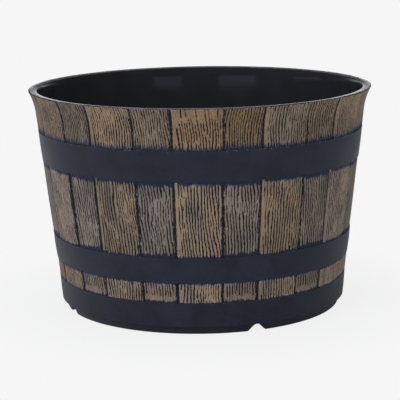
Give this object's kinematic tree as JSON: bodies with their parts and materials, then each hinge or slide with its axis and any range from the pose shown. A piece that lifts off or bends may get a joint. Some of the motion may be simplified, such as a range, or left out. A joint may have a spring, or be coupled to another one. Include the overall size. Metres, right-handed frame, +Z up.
{
  "type": "half-barrel planter",
  "caption": "Round tapered floor planter moulded as a cut-down wooden barrel with staves and hoops in relief, a flared lip, and pull-out plugs in its drain holes.",
  "frame": {"origin": "centre of the foot ring, on the surface that the planter stands on", "axes": "+Z up, along the planter's axis of revolution; -Y towards the viewer of the picture, through the middle of a wide stave; +X to the viewer's right"},
  "size_m": [0.3936, 0.3936, 0.252],
  "materials": {
    "shell_resin": "dark charcoal resin with a satin sheen, dry-brushed in weathered grey-brown on the stave relief",
    "plug_rubber": "black moulded rubber"
  },
  "bodies": {
    "shell": {"planter_shell": "shell_resin"},
    "plug_1": {"drain_plug_1": "plug_rubber"},
    "plug_2": {"drain_plug_2": "plug_rubber"},
    "plug_3": {"drain_plug_3": "plug_rubber"},
    "plug_4": {"drain_plug_4": "plug_rubber"}
  },
  "joints": [
    {"name": "plug_1_pull", "type": "slide", "parent": "shell", "child": "plug_1", "axis": [0, 0, 1], "range_m": [0, 0.025]},
    {"name": "plug_2_pull", "type": "slide", "parent": "shell", "child": "plug_2", "axis": [0, 0, 1], "range_m": [0, 0.025]},
    {"name": "plug_3_pull", "type": "slide", "parent": "shell", "child": "plug_3", "axis": [0, 0, 1], "range_m": [0, 0.025]},
    {"name": "plug_4_pull", "type": "slide", "parent": "shell", "child": "plug_4", "axis": [0, 0, 1], "range_m": [0, 0.025]}
  ]
}
